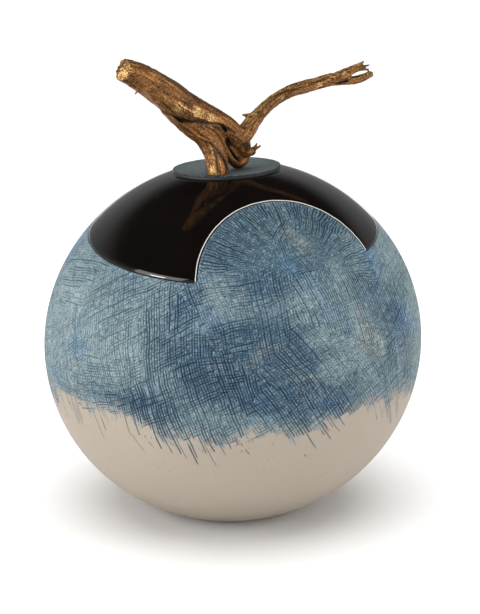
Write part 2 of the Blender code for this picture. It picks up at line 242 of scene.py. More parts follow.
class Strokes(NamedTuple):
    """One set of scratches. Angles are in degrees from the level, lengths in metres."""

    angle: float
    angle_spread: float
    pitch: float  # from line to line
    patch: float  # how wide a patch of one direction is
    length: float
    share: float  # of a line that is stroked
    past_edge: float  # how far below the wash's edge the longest reach
    seed: int


STEEP = Strokes(-66, 30, 0.00150, 0.045, 0.018, 0.68, 0.020, 1)
LEVEL = Strokes(21, 36, 0.00155, 0.040, 0.014, 0.60, 0.004, 2)
LOOSE = Strokes(-30, 180, 0.00125, 0.018, 0.008, 0.60, 0.004, 3)
LOOSE_FORCE = 0.75
CROSSING_FORCE = 0.15  # how much darker it gets where steep and level strokes cross
PATCH_SHIFT = np.array([0.31, 0.17, 0.23])  # how far apart the sets' patches lie in the noise
PATCH_FRAY = 0.016

# The scratches square to each lobe's arch
ARCH_LINES = 178  # in a full turn
ARCH_STROKE = 0.0050
ARCH_SHARE = 0.70
ARCH_REACH = (0.012, 0.020)  # the shortest, and how much longer the longest is
ARCH_SIDES = (1.95, 1.55)  # the turns from its top between which they fade in, in radians

# A scratch's half width and strength, as slope and start over its line's own chance
LINE_WIDTH = (0.26, 0.20)
LINE_STRENGTH = (0.4, 0.6)
PATCH_STRENGTH = (0.45, 0.55)
LINE_END = (-0.0005, 0.0025)  # how far past the wash's edge the lines fade in
LINE_BENDS = 3.2  # how many lines' widths they stray

# The pale line where the glaze runs thin along the arches: where it starts and ends, each softened
ARCH_LINE_START = (0.0006, 0.0008)
ARCH_LINE_END = (0.0013, 0.0010)
ARCH_LINE_STRAY = 0.00025

# The disc's finishes: how far inside its rim, and at which heights over its plane, each fades in
MATTE_EDGE = (0.0005, 0.0011)
MATTE_HEIGHTS = (-0.0018, -0.0012)
WORN_EDGE = (0.0016, 0.0004)
WORN_HEIGHTS = (-0.0007, -0.0001)
WALL_EDGE = (-0.0006, 0.0)
WALL_HEIGHTS = (-0.0024, -0.0016)

# The colours, as red, green and blue light
CLAY = ((0.335, 0.285, 0.228), (0.37, 0.32, 0.26))
CLAY_GRAIN = (0.24, 0.19, 0.145)
PALE_WASH = ((0.185, 0.285, 0.310), (0.325, 0.400, 0.390))
BLUE_WASH = ((0.020, 0.082, 0.155), (0.052, 0.135, 0.185))
HIGH_WASH = (0.050, 0.100, 0.118)
WARM_WASH = (0.37, 0.38, 0.32)
BRIGHT_WASH = (0.085, 0.215, 0.400)
RUBBED_WASH = (0.024, 0.066, 0.095)
DARK_SALT = (0.025, 0.055, 0.075)
PALE_FLECKS = (0.42, 0.47, 0.46)
THIN_WASH = (0.30, 0.36, 0.36)
INK = ((0.017, 0.052, 0.075), (0.003, 0.018, 0.044))
INK_ON_CLAY = (0.013, 0.050, 0.090)
SPECKS = (0.015, 0.02, 0.03)
GLAZE = ((0.0022, 0.0017, 0.0016), (0.0050, 0.0034, 0.0028))
ARCH_LINE = (0.66, 0.64, 0.61)
DUST = (0.5, 0.5, 0.48)
MATTE_DISC = ((0.022, 0.036, 0.042), (0.118, 0.142, 0.146))
DISC_WALL = (0.010, 0.013, 0.014)
WORN_RIM = (0.24, 0.26, 0.25)
WOOD = ((0.020, 0.007, 0.002), (0.43, 0.180, 0.050))
WOOD_HOLLOW = (0.016, 0.007, 0.004)
# Gold leaf's colour, also used for the painted highlight on the wood's lit side
GOLD_AND_PAINTED_HIGHLIGHT = (0.95, 0.62, 0.24)
FLOOR_WHITE = (0.90, 0.90, 0.90)

# The softboxes: where each stands, its width and height, and its power in watts
SOFTBOXES = {
    "left_softbox": ((-1.25, -0.80, 0.55), (1.1, 1.2), 14.5),
    "left_glint": ((-1.25, -0.80, 0.52), (0.30, 0.22), 7.0),
    "right_softbox": ((1.4, -0.5, 0.50), (0.8, 1.0), 7.5),
}
SUN_STRENGTH = 2.7
SUN_SPREAD = 70.0
EVEN_LIGHT = 0.47
WALL_GLOSS = 0.30
ROOF_GLOSS = 0.012
ROOF_EDGE = (20.0, 38.0)  # the elevations between which the walls fade into the roof
FLOOR_REACH = 6.0

# The camera looks down at the ball's middle from the photograph's angle
CAMERA_ELEVATION = 16.0
CAMERA_DISTANCE = 1.0
SENSOR_HEIGHT = 36.0
LENS = 99.94
AIM_RIGHT = 0.00424
AIM_UP = 0.0190

UP = np.array([0.0, 0.0, 1.0])

# The whole numbers that scramble a cell's place into a number of its own
HASH_STEPS = np.array([73856093, 19349663, 83492791])
HASH_SEED = 2654435761
HASH_SPREAD = 1274126177


def unit(vectors):
    return vectors / np.linalg.norm(vectors, axis=-1, keepdims=True)


def direction(azimuth, elevation):
    a, e = math.radians(azimuth), math.radians(elevation)
    return np.array([math.cos(e) * math.sin(a), -math.cos(e) * math.cos(a), math.sin(e)])


LID_AXIS = direction(LID_TILT_AZIMUTH, 90 - LID_TILT)
LOBE_AXES = [direction(azimuth, LOBE_ELEVATION) for azimuth, _ in LOBES]


def level_direction(angles, elevation):
    """Directions at one elevation, both in radians, at these azimuths."""
    flat = math.cos(elevation)
    height = np.full_like(angles, math.sin(elevation))
    return np.stack([flat * np.sin(angles), -flat * np.cos(angles), height], axis=1)


def on_ball(directions, depth=0.0):
    """The points in these directions on the ball's skin, or on a skin that much deeper."""
    half_sizes = np.array([BODY_RADIUS, BODY_RADIUS, BODY_HALF_HEIGHT]) - depth
    return directions / np.linalg.norm(directions / half_sizes, axis=1, keepdims=True)


def placed(points):
    """Points about the ball's centre, leaned and lifted to where the urn stands."""
    x, y, z = np.asarray(points).T
    return np.stack([x + LEAN * z, y, z + CENTRE_HEIGHT], axis=1)


def crossings(axis, spread, other_axis, other_spread):
    """The two directions that lie on both circles, the one towards -azimuth first."""
    mix = axis @ other_axis
    near, far = math.cos(math.radians(spread)), math.cos(math.radians(other_spread))
    middle = ((near - mix * far) * axis + (far - mix * near) * other_axis) / (1 - mix**2)
    side = unit(np.cross(axis, other_axis)) * math.sqrt(1 - middle @ middle)
    return middle + side, middle - side


def arc(axis, start, end, sense, trims, count):
    """Directions along the circle about axis, from start to end, cut short by a length at each end."""
    along = axis * (axis @ start)
    across = start - along
    turn = math.atan2(axis @ np.cross(across, end - along), across @ (end - along))
    whole = (sense * turn) % (2 * math.pi)
    cuts = np.array(trims) / (np.linalg.norm(across) * BODY_RADIUS)
    angles = sense * np.linspace(cuts[0], whole - cuts[1], count)
    side = np.cross(axis, across)
    return along + np.outer(np.cos(angles), across) + np.outer(np.sin(angles), side)


def corner(before, tip, after, count):
    """Directions that round off the corner at tip."""
    t = (np.arange(count) + 1)[:, None] / (count + 1)
    return unit((1 - t) ** 2 * before + 2 * t * (1 - t) * tip + t**2 * after)


def joint_line():
    """The joint, once round by rising azimuth, starting at the front lobe's left corner."""
    tips = [crossings(axis, LOBE_SPREAD, LID_AXIS, LID_SPREAD) for axis in LOBE_AXES]
    pieces = []
    for i, (_, rounding) in enumerate(LOBES):
        after = (i + 1) % len(LOBES)
        left, right = tips[i]
        lobe = arc(LOBE_AXES[i], left, right, -1, (rounding, rounding), LOBE_STEPS)
        next_left, next_rounding = tips[after][0], LOBES[after][1]
        petal = arc(LID_AXIS, right, next_left, 1, (rounding, next_rounding), PETAL_STEPS)
        pieces.append((lobe, right, petal, next_left))
    line = []
    for i, (lobe, right, petal, next_left) in enumerate(pieces):
        next_lobe = pieces[(i + 1) % len(pieces)][0]
        line += [lobe, corner(lobe[-1], right, petal[0], CORNER_STEPS)]
        line += [petal, corner(petal[-1], next_left, next_lobe[0], CORNER_STEPS)]
    return np.concatenate(line)


def towards_lid(line):
    """At each point of the joint, the tangent direction that leads square off it into the lid."""
    before = np.cross(line, unit(line - np.roll(line, 1, axis=0)))
    after = np.cross(line, unit(np.roll(line, -1, axis=0) - line))
    both = before + after
    return 2 * both / np.sum(both * both, axis=1, keepdims=True)


def shifted(line, distance):
    """The joint line moved along the ball by a distance, into the lid or, if negative, the body."""
    return unit(line + towards_lid(line) * distance / BODY_RADIUS)


def spread_out(steps, passes):
    """Angles once round, from steps that are evened out with their neighbours."""
    for _ in range(passes):
        steps = (np.roll(steps, 1) + 2 * steps + np.roll(steps, -1)) / 4
    return np.cumsum(steps) - steps


def column_angles(line, by_length, passes):
    """An azimuth for each point of the joint, evened out, for rings that lie away from it."""
    azimuths = np.unwrap(np.arctan2(line[:, 0], -line[:, 1]))
    turns = np.diff(azimuths, append=azimuths[0] + 2 * math.pi)
    lengths = np.linalg.norm(np.roll(line, -1, axis=0) - line, axis=1)
    lengths *= 2 * math.pi / lengths.sum()
    angles = spread_out((1 - by_length) * turns + by_length * lengths, passes)
    return angles + np.mean(azimuths - angles)


def bezier(knots, share):
    a, b, c, d = knots
    rest = 1 - share
    return rest**3 * a + 3 * rest**2 * share * b + 3 * rest * share**2 * c + share**3 * d


def rounded_edge(line, side, drop, reach, steps):
    """The loops of a rim's rounded edge, from its flank up to the skin."""
    loops = []
    for turn in np.linspace(0, math.pi / 2, steps):
        inwards = reach * (1 - math.cos(turn))
        depth = drop * (1 - math.sin(turn))
        loops.append(on_ball(shifted(line, side * (JOINT_GAP / 2 + inwards)), depth))
    return loops


def body_loops(line):
    """The body's loops: up its outside, over the rim, and down inside to the floor."""
    angles = column_angles(line, by_length=0.0, passes=4 * len(line))
    foot_elevation = -math.acos(FOOT_RADIUS / math.hypot(FOOT_RADIUS, CENTRE_HEIGHT))
    lowest = foot_elevation + math.radians(FOOT_LIFT)
    lower = [
        on_ball(level_direction(angles, elevation))
        for elevation in np.linspace(lowest, 0, BODY_LOWER_STEPS, endpoint=False)
    ]
    belly = level_direction(angles, 0.0)
    swell, rise = FOOT_ROUNDING
    foot = [
        belly * (FOOT_RADIUS - FOOT_EDGE) - UP * CENTRE_HEIGHT,
        belly * (FOOT_RADIUS + swell * FOOT_EDGE) - UP * (CENTRE_HEIGHT - rise * FOOT_EDGE),
    ]
    edge = rounded_edge(line, -1, BODY_EDGE, BODY_EDGE, ROUND_STEPS)
    rim = unit(edge[-1])
    knots = [
        belly,
        level_direction(angles, 2 * BEND_REACH),
        unit(rim - towards_lid(line) * BEND_REACH),
        rim,
    ]
    upper = [
        on_ball(unit(bezier(knots, share)))
        for share in np.linspace(0, 1, BODY_UPPER_STEPS, endpoint=False)
    ]
    inner_rim = shifted(line, -JOINT_GAP / 2)
    floor_height = FLOOR - CENTRE_HEIGHT
    inner_half = BODY_HALF_HEIGHT - WALL
    floor_radius = (BODY_RADIUS - WALL) * math.sqrt(1 - (floor_height / inner_half) ** 2)
    floor = level_direction(angles, math.atan2(floor_height, floor_radius))
    inside = [
        on_ball(unit(bezier([inner_rim, belly, belly, floor], share)), WALL)
        for share in np.linspace(0, 1, BODY_INNER_STEPS + 1)
    ]
    return foot + lower + upper + edge[::-1] + inside


class Disc:
    """The tilted disc on the lid: its frame about the ball's centre."""

    tilt = math.radians(DISC_TILT)
    height = BODY_HALF_HEIGHT * math.sqrt(1 - (DISC_RADIUS / BODY_RADIUS) ** 2) + DISC_RISE
    centre = np.array([DISC_OFFSET, 0.0, height])
    right = np.array([math.cos(tilt), 0.0, math.sin(tilt)])
    back = np.array([0.0, 1.0, 0.0])
    up = np.array([-math.sin(tilt), 0.0, math.cos(tilt)])

    @classmethod
    def ring(cls, radius, angles, height):
        flat = np.outer(np.sin(angles), cls.right) - np.outer(np.cos(angles), cls.back)
        return cls.centre + radius * flat + height * cls.up


def lid_loops(line):
    """The lid's loops: from its ceiling out to the rim, over the glazed edge, and up to the dish."""
    angles = column_angles(line, by_length=1.0, passes=len(line) // 2)
    edge = rounded_edge(line, 1, LID_EDGE, LID_ROLL, LID_ROLL_STEPS)
    rim = unit(edge[-1])
    neck = unit(Disc.ring(DISC_RADIUS + NECK_FLARE, angles, 0.0))
    shares = np.linspace(0, 1, LID_OUTER_STEPS + 1)[1:]
    dome = [on_ball(unit((1 - share) * rim + share * neck)) for share in shares]
    wall = DISC_RADIUS - DISC_EDGE
    wall_foot = Disc.ring(wall, angles, -NECK_HEIGHT)
    pull = Disc.ring(wall, angles, -NECK_HEIGHT - NECK_PULL)
    slope = 2 * dome[-1] - dome[-2]
    flare = [
        bezier([dome[-1], 0.5 * slope + 0.5 * dome[-1], pull, wall_foot], share)
        for share in np.linspace(0, 1, ROUND_STEPS + 2)[1:]
    ]
    shoulder = DISC_SHOULDER * DISC_EDGE
    inner = DISC_RADIUS - LIP_WIDTH
    top = [
        Disc.ring(wall, angles, -DISC_EDGE),
        Disc.ring(DISC_RADIUS - shoulder, angles, -shoulder),
        Disc.ring(DISC_RADIUS - DISC_EDGE, angles, 0.0),
        Disc.ring(inner, angles, -LIP_DROP * DISH_DEPTH),
    ]
    for share in np.linspace(0, 1, DISH_STEPS + 1)[1:]:
        depth = DISH_DEPTH * (LIP_DROP + (1 - LIP_DROP) * math.sin(share * math.pi / 2))
        top.append(Disc.ring(inner - share * (DISH_BORDER - LIP_WIDTH), angles, -depth))
    for share in DISH_RINGS:
        top.append(Disc.ring(share * (DISC_RADIUS - DISH_BORDER), angles, -DISH_DEPTH))
    inner_rim = shifted(line, JOINT_GAP / 2)
    ceiling_height = Disc.height - DISH_DEPTH - CEILING - DISC_RADIUS * math.sin(Disc.tilt)
    inner_half = BODY_HALF_HEIGHT - WALL
    ceiling_radius = (BODY_RADIUS - WALL) * math.sqrt(1 - (ceiling_height / inner_half) ** 2)
    ceiling = level_direction(angles, math.atan2(ceiling_height, ceiling_radius))
    inside = [
        on_ball(unit((1 - share) * ceiling + share * inner_rim), WALL)
        for share in np.linspace(0, 1, LID_INNER_STEPS + 1)
    ]
    return inside + edge + dome + flare + top


def hashed(cells, seed):
    """A number from 0 to 1 for each whole-numbered cell."""
    mixed = cells @ HASH_STEPS + seed * HASH_SEED
    mixed = (mixed ^ (mixed >> 13)) * HASH_SPREAD
    return ((mixed ^ (mixed >> 16)) & 0xFFFF) / 0xFFFF


def soft_noise(points, seed=0):
    """Smooth noise from 0 to 1, in cells one unit wide."""
    cells = np.floor(points).astype(np.int64)
    t = points - cells
    t = t * t * (3 - 2 * t)
    total = np.zeros(len(points))
    for step in itertools.product((0, 1), repeat=3):
        weight = np.prod(np.where(step, t, 1 - t), axis=1)
        total += weight * hashed(cells + np.array(step), seed)
    return total


def grooves(points, seed=0):
    """Noise with narrow valleys: 1 in a valley's bottom, 0 on the flats."""
    return (1 - np.abs(2 * soft_noise(points, seed) - 1)) ** 3


def skin(mesh, loops):
    """The rings of vertices at closed loops of points, joined in turn by four-sided faces."""
    rings = [[mesh.verts.new(point) for point in loop] for loop in loops]
    for lower, upper in zip(rings, rings[1:]):
        for i in range(len(lower)):
            after = (i + 1) % len(lower)
            mesh.faces.new((lower[i], lower[after], upper[after], upper[i]))
    return rings


def bridged(name, loops, material):
    """An object with a skin over closed loops of points and a flat face over each end."""
    mesh = bmesh.new()
    rings = skin(mesh, loops)
    mesh.faces.new(reversed(rings[0]))
    mesh.faces.new(rings[-1])
    bmesh.ops.recalc_face_normals(mesh, faces=mesh.faces)
    data = bpy.data.meshes.new(name)
    mesh.to_mesh(data)
    mesh.free()
    data.shade_smooth()
    data.set_sharp_from_angle(angle=math.radians(SHARP_ANGLE))
    return linked(name, data, material)


def added(name, data):
    thing = bpy.data.objects.new(name, data)
    bpy.context.scene.collection.objects.link(thing)
    return thing


def linked(name, data, material):
    data.materials.clear()
    data.materials.append(material)
    return added(name, data)


def vectors(rows, name):
    """One vector from each row of a mesh's data."""
    flat = np.empty(len(rows) * 3)
    rows.foreach_get(name, flat)
    return flat.reshape(-1, 3)


def store(data, name, values, kind="FLOAT"):
    """Keeps one value for each vertex, for the materials to read."""
    attribute = data.attributes.new(name, kind, "POINT")
    field = "value" if kind == "FLOAT" else "vector"
    attribute.data.foreach_set(field, np.asarray(values, np.float32).ravel())


def sky_angles(points):
    """Azimuth and elevation, in degrees, of points about the ball's leaning middle."""
    x, y, z = (points - UP * CENTRE_HEIGHT).T
    x = x - LEAN * z
    return np.degrees(np.arctan2(x, -y)), np.degrees(np.arctan2(z, np.hypot(x, y)))


def wash_edge_elevation(azimuths):
    """The elevation of the wash's lower edge at each azimuth, smooth between its points."""
    turns, heights = np.array(WASH_EDGE, float).T
    turns = np.concatenate([turns - 360, turns, turns + 360])
    place = np.interp(azimuths, turns, np.arange(len(turns)))
    low = np.floor(place).astype(int)
    t = place - low
    t = t * t * (3 - 2 * t)
    heights = np.tile(heights, 3)
    high = np.minimum(low + 1, len(heights) - 1)
    return heights[low] * (1 - t) + heights[high] * t


def paint_wash(data):
    """Stores how far each point lies above the wash's edge, and how thick the wash is there."""
    points = vectors(data.vertices, "co")
    azimuths, elevations = sky_angles(points)
    reach = np.radians(elevations - wash_edge_elevation(azimuths)) * BODY_RADIUS
    store(data, "above_edge", reach)
    thickness = np.zeros(len(points))
    for azimuth, elevation, across, upwards, strength in WASHES:
        right = (azimuths - azimuth + 180) % 360 - 180
        right = right * np.cos(np.radians(elevations)) / across
        rise = (elevations - elevation) / upwards
        thickness += strength * np.exp(-(right**2) - rise**2)
    store(data, "thickness", thickness)


class Nodes:
    """A node tree, with one short call for each kind of node that the looks use."""

    def __init__(self, tree):
        self.tree = tree

    def node(self, kind, **settings):
        node = self.tree.nodes.new(kind)
        for name, value in settings.items():
            setattr(node, name, value)
        return node

    def fed(self, kind, values, **settings):
        """A new node with these values or links on its sockets, by their names."""
        node = self.node(kind, **settings)
        for name, value in values.items():
            self.feed(node.inputs[name], value)
        return node

    def filled(self, kind, values, **settings):
        """A new node with these values or links on its sockets, in their order."""
        node = self.node(kind, **settings)
        for socket, value in zip(node.inputs, values):
            self.feed(socket, value)
        return node

    def feed(self, socket, value):
        if isinstance(value, bpy.types.NodeSocket):
            self.tree.links.new(value, socket)
        else:
            socket.default_value = value

    def math(self, operation, *values, clamp=False):
        return self.filled("ShaderNodeMath", values, operation=operation, use_clamp=clamp).outputs[0]

    def vector(self, operation, *values):
        node = self.filled("ShaderNodeVectorMath", values, operation=operation)
        return node.outputs["Value" if operation in ("DOT_PRODUCT", "LENGTH") else "Vector"]

    def dot(self, first, second):
        return self.vector("DOT_PRODUCT", first, second)

    def scaled(self, vector, factor):
        values = {"Vector": vector, "Scale": factor}
        return self.fed("ShaderNodeVectorMath", values, operation="SCALE").outputs["Vector"]

    def joined(self, x, y, z):
        return self.filled("ShaderNodeCombineXYZ", (x, y, z)).outputs[0]

    def sum(self, first, second):
        return self.math("ADD", first, second)

    def both(self, first, second):
        return self.math("MULTIPLY", first, second)

    def stronger(self, first, second):
        return self.math("MAXIMUM", first, second)

    def line(self, value, slope, start):
        return self.math("MULTIPLY_ADD", value, slope, start)

    def strayed(self, noise, reach):
        """Noise as a length from -reach to reach."""
        return self.line(noise, 2 * reach, -reach)

    def ease(self, value, low, high, to_low=0.0, to_high=1.0):
        """The value's place from low to high, softened at both ends, as to_low to to_high."""
        values = {"Value": value, "From Min": low, "From Max": high, "To Min": to_low, "To Max": to_high}
        return self.fed("ShaderNodeMapRange", values, interpolation_type="SMOOTHSTEP").outputs["Result"]

    def mix(self, share, first, second):
        node = self.fed("ShaderNodeMix", {"Factor": share}, data_type="RGBA")
        for name, value in (("A", first), ("B", second)):
            socket = [s for s in node.inputs if s.name == name and s.type == "RGBA"][0]
            self.feed(socket, (*value, 1.0) if isinstance(value, tuple) else value)
        return [s for s in node.outputs if s.type == "RGBA"][0]

    def noise(self, where, scale, detail=2.0, roughness=0.5, distortion=0.0):
        values = {"Vector": where, "Scale": scale, "Detail": detail}
        values.update({"Roughness": roughness, "Distortion": distortion})
        return self.fed("ShaderNodeTexNoise", values).outputs[0]

    def random(self, where):
        return self.fed("ShaderNodeTexWhiteNoise", {"Vector": where}).outputs["Value"]

    def attribute(self, name, kind="Fac"):
        return self.node("ShaderNodeAttribute", attribute_name=name).outputs[kind]

    def bump(self, height, distance, strength):
        values = {"Height": height, "Distance": distance, "Strength": strength}
        return self.fed("ShaderNodeBump", values).outputs["Normal"]

    def picked(self, share, first, second):
        """The first number or, where the share is 1, the second."""
        node = self.node("ShaderNodeMix", data_type="FLOAT")
        for i, value in ((0, share), (2, first), (3, second)):
            self.feed(node.inputs[i], value)
        return node.outputs[0]


class Graph(Nodes):
    """A material's nodes."""

    def __init__(self, name):
        self.material = bpy.data.materials.new(name)
        self.material.use_nodes = True
        super().__init__(self.material.node_tree)
        self.shader = self.tree.nodes["Principled BSDF"]
        self.place = self.node("ShaderNodeTexCoord").outputs["Object"]

    def set(self, **values):
        """Sets or links the shader's sockets, named with _ for a space."""
        for name, value in values.items():
            socket = self.shader.inputs[name.replace("_", " ")]
            if isinstance(value, tuple):
                value = (*value, 1.0)
            self.feed(socket, value)


def ball_place(g):
    """The shaded point about the ball's middle, with the lean taken out."""
    middle = g.vector("SUBTRACT", g.place, (0.0, 0.0, CENTRE_HEIGHT))
    lean = g.math("MULTIPLY", g.dot(middle, UP), LEAN)
    return g.vector("SUBTRACT", middle, g.joined(lean, 0.0, 0.0))


def inside_circle(g, outwards, axis, spread):
    """How far, in metres along the ball, a point lies inside the circle about an axis."""
    angle = g.math("ARCCOSINE", g.dot(outwards, axis))
    return g.math("MULTIPLY", g.math("SUBTRACT", math.radians(spread), angle), BODY_RADIUS)


def scratches(g, ball, above, kind):
    """Evenly combed scratches, in patches that each have a direction of their own.

    They follow planes through the ball, square to a tangent of their patch's middle, and end at the
    wash's edge or, for a few of them, a little below it.
    """
    shift = tuple(kind.seed * PATCH_SHIFT)
    wobble = g.fed("ShaderNodeTexNoise", {"Vector": ball, "Scale": 260.0, "Detail": 1.0})
    shake = g.scaled(g.vector("SUBTRACT", wobble.outputs["Color"], (0.5, 0.5, 0.5)), PATCH_FRAY)
    frayed = g.vector("ADD", g.vector("ADD", ball, shift), shake)
    cells = g.fed("ShaderNodeTexVoronoi", {"Vector": frayed, "Scale": 1 / kind.patch})
    middle = g.vector("NORMALIZE", g.vector("SUBTRACT", cells.outputs["Position"], shift))
    chance = g.filled("ShaderNodeSeparateColor", [cells.outputs["Color"]])
    east = g.vector("NORMALIZE", g.vector("CROSS_PRODUCT", UP, middle))
    first_angle = math.radians(kind.angle - kind.angle_spread / 2)
    angle = g.line(chance.outputs[0], math.radians(kind.angle_spread), first_angle)
    values = {"Vector": east, "Axis": middle, "Angle": angle}
    ahead = g.fed("ShaderNodeVectorRotate", values, rotation_type="AXIS_ANGLE").outputs[0]
    along = g.dot(ball, ahead)
    across = g.dot(ball, g.vector("CROSS_PRODUCT", middle, ahead))
    bend = g.noise(ball, 34.0, detail=2.5, roughness=0.6)
    count = g.sum(g.math("DIVIDE", across, kind.pitch), g.both(bend, LINE_BENDS))
    strokes = combed(g, count, along, chance.outputs[1], kind.length, kind.share)
    own = g.random(g.joined(g.math("FLOOR", count), chance.outputs[1], 2.0))
    past_edge = g.line(g.math("POWER", own, 4.0), kind.past_edge, above)
    strokes = g.both(strokes, g.ease(past_edge, *LINE_END))
    return g.both(strokes, g.line(chance.outputs[2], *PATCH_STRENGTH))


def combed(g, count, along, chance, length, share):
    """Lines at whole steps of count, each broken into strokes of its own: 1 on a stroke."""
    line = g.math("FLOOR", count)
    off_middle = g.math("ABSOLUTE", g.math("SUBTRACT", g.math("SUBTRACT", count, line), 0.5))
    own = g.random(g.joined(line, chance, 0.0))
    width = g.line(own, *LINE_WIDTH)
    profile = g.ease(off_middle, width, 0.06)
    break_up = g.noise(g.joined(g.math("DIVIDE", along, length), g.both(line, 3.7), chance), 1.0, detail=1.0)
    present = g.ease(break_up, 1 - share, 1 - share + 0.1)
    strength = g.line(own, *LINE_STRENGTH)
    return g.both(g.both(profile, present), strength)


def radial_scratches(g, outwards, axis):
    """Short scratches square to a lobe's arched edge."""
    inside = inside_circle(g, outwards, axis, LOBE_SPREAD)
    up = unit(UP - axis * (axis @ UP))
    side = np.cross(axis, up)
    turn = g.math(
        "ARCTAN2",
        g.dot(outwards, side),
        g.dot(outwards, up),
    )
    bend = g.noise(outwards, 9.0, detail=2.0)
    count = g.sum(g.both(turn, ARCH_LINES / (2 * math.pi)), g.both(bend, 3.0))
    own = g.random(g.joined(g.math("FLOOR", count), axis[0], 1.0))
    shortest, longer = ARCH_REACH
    reach = g.line(own, longer, shortest)
    stroke = combed(g, count, inside, axis[1], ARCH_STROKE, ARCH_SHARE)
    fades = g.ease(g.math("DIVIDE", inside, reach), 1.15, 0.75)
    starts = g.ease(inside, 0.0002, 0.0014)
    upper = g.ease(g.math("ABSOLUTE", turn), *ARCH_SIDES)
    return g.both(g.both(stroke, fades), g.both(starts, upper))


def wash_strokes(g, ball, outwards, height, edge):
    """All the strokes that are scratched through the wash: 1 on a stroke."""
    below_arches = g.line(g.noise(ball, 40.0), 0.3, height)
    below_arches = g.ease(below_arches, 0.84, 0.62, 0.30, 1.0)
    steep = g.both(scratches(g, ball, edge, STEEP), below_arches)
    level = g.both(scratches(g, ball, edge, LEVEL), below_arches)
    loose = g.both(scratches(g, ball, edge, LOOSE), LOOSE_FORCE)
    strokes = g.stronger(g.stronger(steep, level), loose)
    for axis in LOBE_AXES:
        strokes = g.stronger(strokes, radial_scratches(g, outwards, axis))
    return g.math("ADD", strokes, g.both(g.sum(steep, level), CROSSING_FORCE), clamp=True)


def patches(g, ball, shift, scale, low, high, strength):
    """Soft patches of a colour of their own: up to strength inside them."""
    spots = g.noise(g.vector("ADD", ball, shift), scale, detail=4.0)
    return g.ease(spots, low, high, 0.0, strength)


def wash_ground(g, ball, height, edge, depth, clouds, rubbed, fine):
    """The wash between its strokes: pale or blue by its depth, rubbed, flecked, and thin at its edge."""
    blue = g.mix(g.noise(ball, 60.0), *BLUE_WASH)
    blue = g.mix(g.ease(height, 0.50, 0.72, 0.0, 0.75), blue, HIGH_WASH)
    ground = g.mix(g.both(depth, 0.95), g.mix(clouds, *PALE_WASH), blue)
    ground = g.mix(patches(g, ball, (0.3, 0.1, 0.2), 34.0, 0.56, 0.72, 0.55), ground, WARM_WASH)
    ground = g.mix(patches(g, ball, (0.7, 0.5, 0.9), 30.0, 0.55, 0.72, 0.5), ground, BRIGHT_WASH)
    ground = g.mix(g.ease(rubbed, 0.53, 0.30, 0.0, 0.75), ground, RUBBED_WASH)
    salt = g.noise(ball, 1250.0, detail=1.0)
    ground = g.mix(g.ease(salt, 0.50, 0.30, 0.0, 0.6), ground, DARK_SALT)
    flecks = g.stronger(g.ease(fine, 0.52, 0.70), g.ease(salt, 0.54, 0.68))
    flecks = g.both(flecks, g.line(depth, -0.28, 0.64))
    ground = g.mix(flecks, ground, PALE_FLECKS)
    return g.mix(g.ease(edge, 0.009, 0.001, 0.0, 0.28), ground, THIN_WASH)


def stoneware():
    """Buff clay below, and above its ragged edge a pale blue wash scratched through in dark strokes."""
    g = Graph("scratched_stoneware")
    ball = ball_place(g)
    outwards = g.vector("NORMALIZE", ball)
    height = g.dot(outwards, UP)
    fray = g.strayed(g.noise(ball, 120.0, detail=3.0), FRAY)
    drift = g.strayed(g.noise(ball, 38.0, detail=1.0), DRIFT)
    edge = g.sum(g.attribute("above_edge"), g.sum(fray, drift))
    clouds = g.noise(ball, 26.0, detail=4.0, roughness=0.6)
    depth = g.sum(g.attribute("thickness"), g.line(clouds, 1.4, -0.62))
    depth = g.ease(depth, -0.50, 0.95)
    rubbed = g.noise(ball, 210.0, detail=4.0, roughness=0.7, distortion=1.2)
    fine = g.noise(ball, 420.0, detail=3.0, roughness=0.65)
    grain = g.noise(ball, 900.0, detail=2.0)

    strokes = wash_strokes(g, ball, outwards, height, edge)
    amount = g.math("MULTIPLY", strokes, g.line(depth, 0.60, 0.66), clamp=True)
    ground = wash_ground(g, ball, height, edge, depth, clouds, rubbed, fine)
    wash = g.mix(amount, ground, g.mix(depth, *INK))

    clay = g.mix(g.noise(ball, 18.0, detail=3.0), *CLAY)
    clay = g.mix(g.both(g.ease(grain, 0.55, 0.8), 0.25), clay, CLAY_GRAIN)
    bare = g.mix(g.both(amount, 0.95), clay, INK_ON_CLAY)

    eaten = g.sum(edge, g.line(rubbed, *RUBBED_EDGE))
    washed = g.ease(g.line(strokes, STROKE_EDGE, eaten), *WASH_FADE)
    colour = g.mix(washed, bare, wash)
    specks = g.ease(g.noise(ball, 700.0, detail=0.0), 0.77, 0.80)
    colour = g.mix(g.both(specks, g.line(washed, 0.6, 0.2)), colour, SPECKS)

    relief = g.math("SUBTRACT", g.both(fine, 0.35), strokes)
    relief = g.line(grain, 0.10, relief)
    g.set(
        Base_Color=colour,
        Roughness=g.ease(strokes, 0.0, 1.0, 0.62, 0.85),
        Specular_IOR_Level=0.35,
        Normal=g.bump(relief, 0.00034, 1.0),
    )
    return g.material


def disc_zone(g, radius, height, edge, heights):
    """Where a finish of the disc lies: 1 inside both its edge and its heights."""
    inwards = g.ease(radius, DISC_RADIUS - edge[0], DISC_RADIUS - edge[1])
    return g.both(inwards, g.ease(height, *heights))


